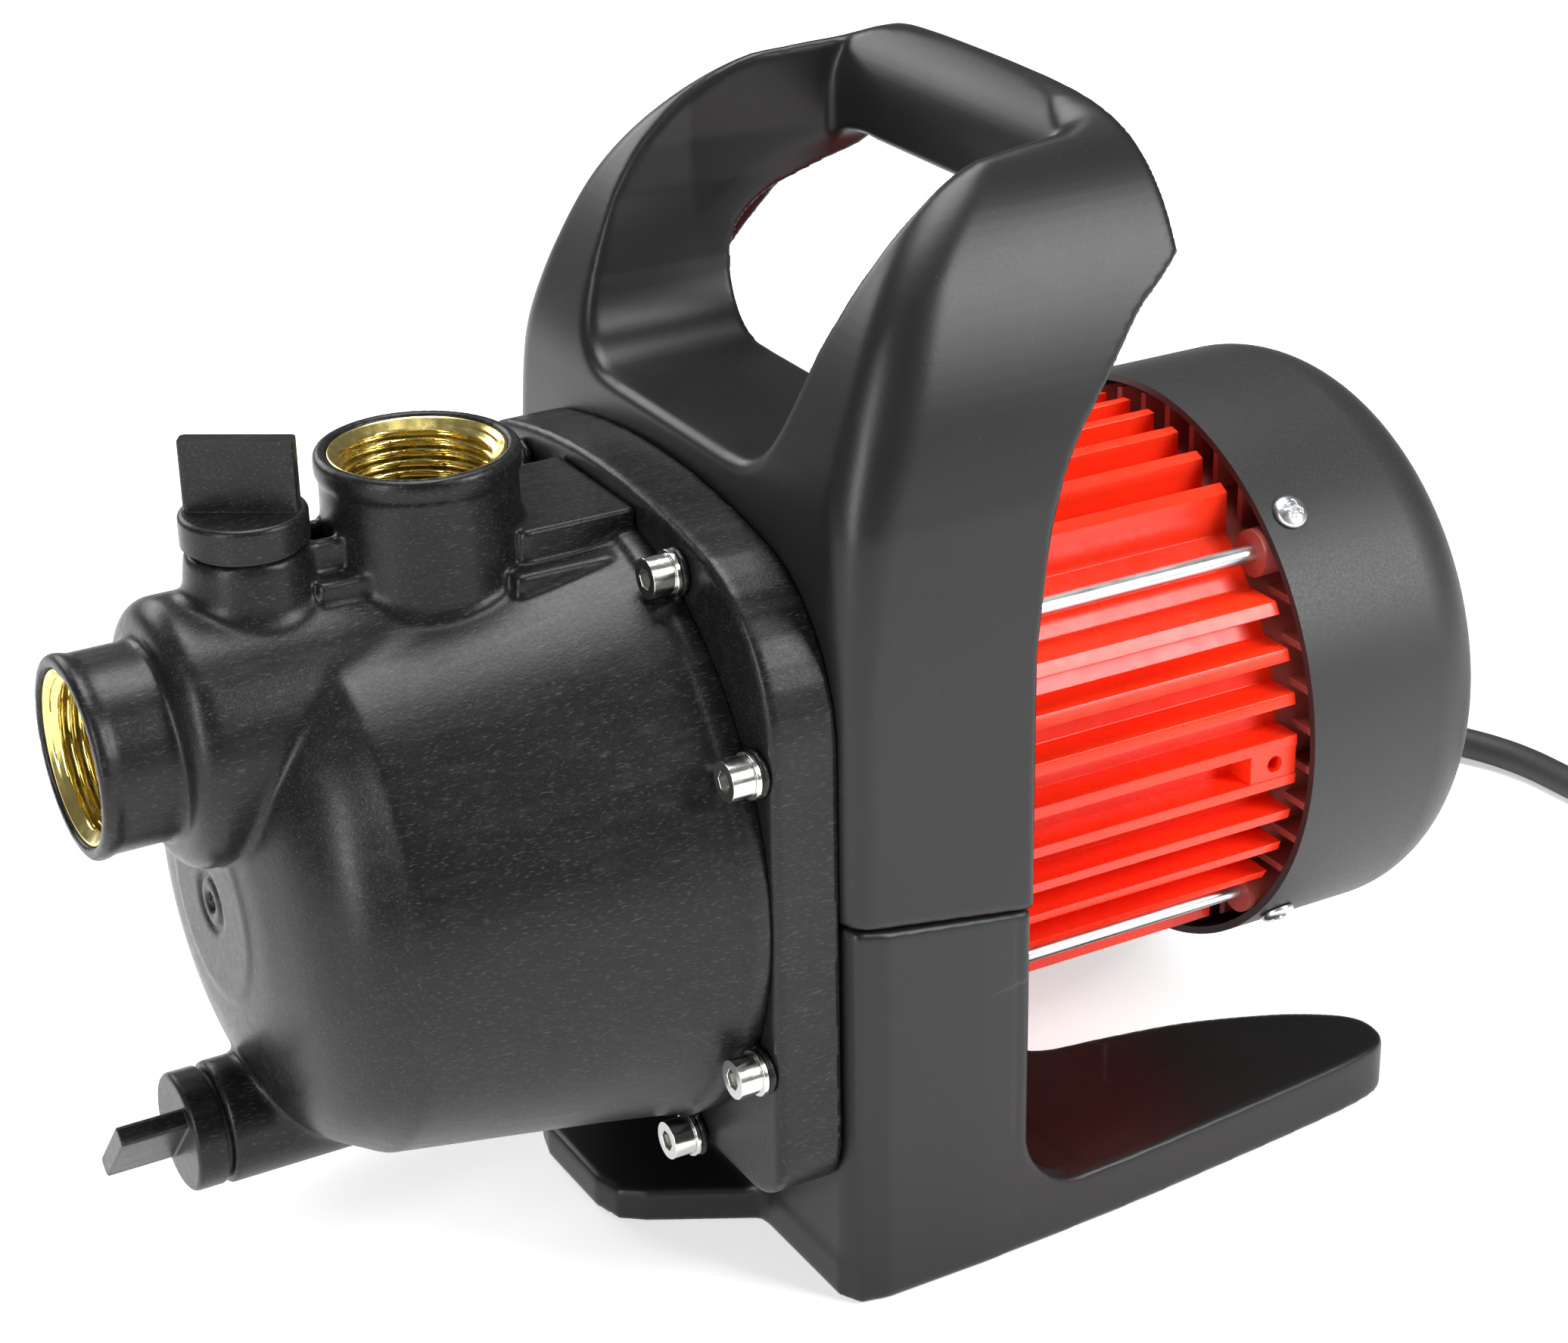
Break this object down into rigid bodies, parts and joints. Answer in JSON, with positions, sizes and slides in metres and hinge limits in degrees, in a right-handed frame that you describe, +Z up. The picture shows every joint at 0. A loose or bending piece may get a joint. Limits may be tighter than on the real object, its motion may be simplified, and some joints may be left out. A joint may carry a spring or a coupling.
{
  "type": "self-priming jet pump",
  "caption": "Portable self-priming garden jet pump: plastic pump head with threaded ports and screw plugs, finned motor, fan cover, carrying handle, foot and mains cord.",
  "frame": {"origin": "on the underside of the base, below the shaft, under the front of the motor", "axes": "+X along the shaft from the pump head to the fan cover, +Z up, Y across; the outlet port opens along +Z and the suction port along -X"},
  "size_m": [0.5599, 0.2026, 0.2476],
  "materials": {
    "glass_filled_plastic": "semi-matte with a fine fibre grain",
    "shell_plastic": "smooth satin",
    "brass": "machined, bright",
    "seal_rubber": "matte",
    "bright_steel": "nickel-bright",
    "zinc_steel": "zinc plated",
    "red_enamel": "glossy enamel",
    "cast_alloy": "as cast",
    "lamination": "bare sheet edges",
    "copper_winding": "varnished copper wire",
    "cover_plastic": "matte fine texture",
    "moulded_plastic": "satin",
    "cord_rubber": "matte rubber",
    "plug_brass": "nickelled brass"
  },
  "bodies": {
    "pump": {"pump_casing": "glass_filled_plastic", "suction_insert": "brass", "outlet_insert": "brass", "bracket_ring": "glass_filled_plastic", "casing_seal": "seal_rubber", "casing_screws": "bright_steel", "casing_washers": "bright_steel", "ejector": "glass_filled_plastic", "diffuser": "glass_filled_plastic", "seal_seat": "moulded_plastic", "front_end_shield": "cast_alloy", "front_bearing": "zinc_steel", "motor_housing": "red_enamel", "stator_core": "lamination", "windings": "copper_winding", "rear_end_shield": "red_enamel", "rear_bearing": "zinc_steel", "tie_rods": "zinc_steel", "tie_rod_nuts": "zinc_steel", "fan_cover": "cover_plastic", "cover_screws": "zinc_steel", "handle_shell": "shell_plastic", "base_foot": "shell_plastic", "shell_screws": "zinc_steel", "connection_box": "moulded_plastic", "box_gasket": "seal_rubber", "box_lid": "moulded_plastic", "box_screws": "zinc_steel", "switch_body": "moulded_plastic", "terminal_block": "moulded_plastic", "capacitor": "moulded_plastic", "gland_body": "moulded_plastic", "gland_nut": "moulded_plastic", "power_cord": "cord_rubber", "cord_coil": "cord_rubber", "mains_plug": "cord_rubber", "plug_pins": "plug_brass"},
    "rotor": {"rotor_shaft": "bright_steel", "rotor_core": "cast_alloy", "impeller": "glass_filled_plastic", "impeller_nut": "bright_steel", "seal_rotating": "bright_steel", "cooling_fan": "moulded_plastic"},
    "filler_seal": {"filler_oring": "seal_rubber"},
    "filler_plug": {"filler_plug": "glass_filled_plastic"},
    "drain_seal": {"drain_oring": "seal_rubber"},
    "drain_plug": {"drain_plug": "glass_filled_plastic"},
    "switch_rocker": {"rocker": "moulded_plastic"}
  },
  "joints": [
    {"name": "rotor_spin", "type": "hinge", "parent": "pump", "child": "rotor", "pos_m": [0, 0, 0.095], "axis": [1, 0, 0], "continuous": true},
    {"name": "filler_lift", "type": "slide", "parent": "pump", "child": "filler_seal", "axis": [0, 0, 1], "range_m": [0, 0.012]},
    {"name": "filler_turn", "type": "hinge", "parent": "filler_seal", "child": "filler_plug", "pos_m": [-0.1276, 0, 0.1712], "axis": [0, 0, 1], "range_deg": [0, 1440]},
    {"name": "drain_lift", "type": "slide", "parent": "pump", "child": "drain_seal", "axis": [-1, 0, 0], "range_m": [0, 0.012]},
    {"name": "drain_turn", "type": "hinge", "parent": "drain_seal", "child": "drain_plug", "pos_m": [-0.1469, 0, 0.0433], "axis": [-1, 0, 0], "range_deg": [0, 1440]},
    {"name": "switch_rock", "type": "hinge", "parent": "pump", "child": "switch_rocker", "pos_m": [0.045, 0.0975, 0.095], "axis": [0, 0, 1], "range_deg": [0, 12]}
  ],
  "couplings": [
    {"joint": "filler_lift", "follows": "filler_turn", "m_per_rad": 0.00047746},
    {"joint": "drain_lift", "follows": "drain_turn", "m_per_rad": 0.00047746}
  ]
}
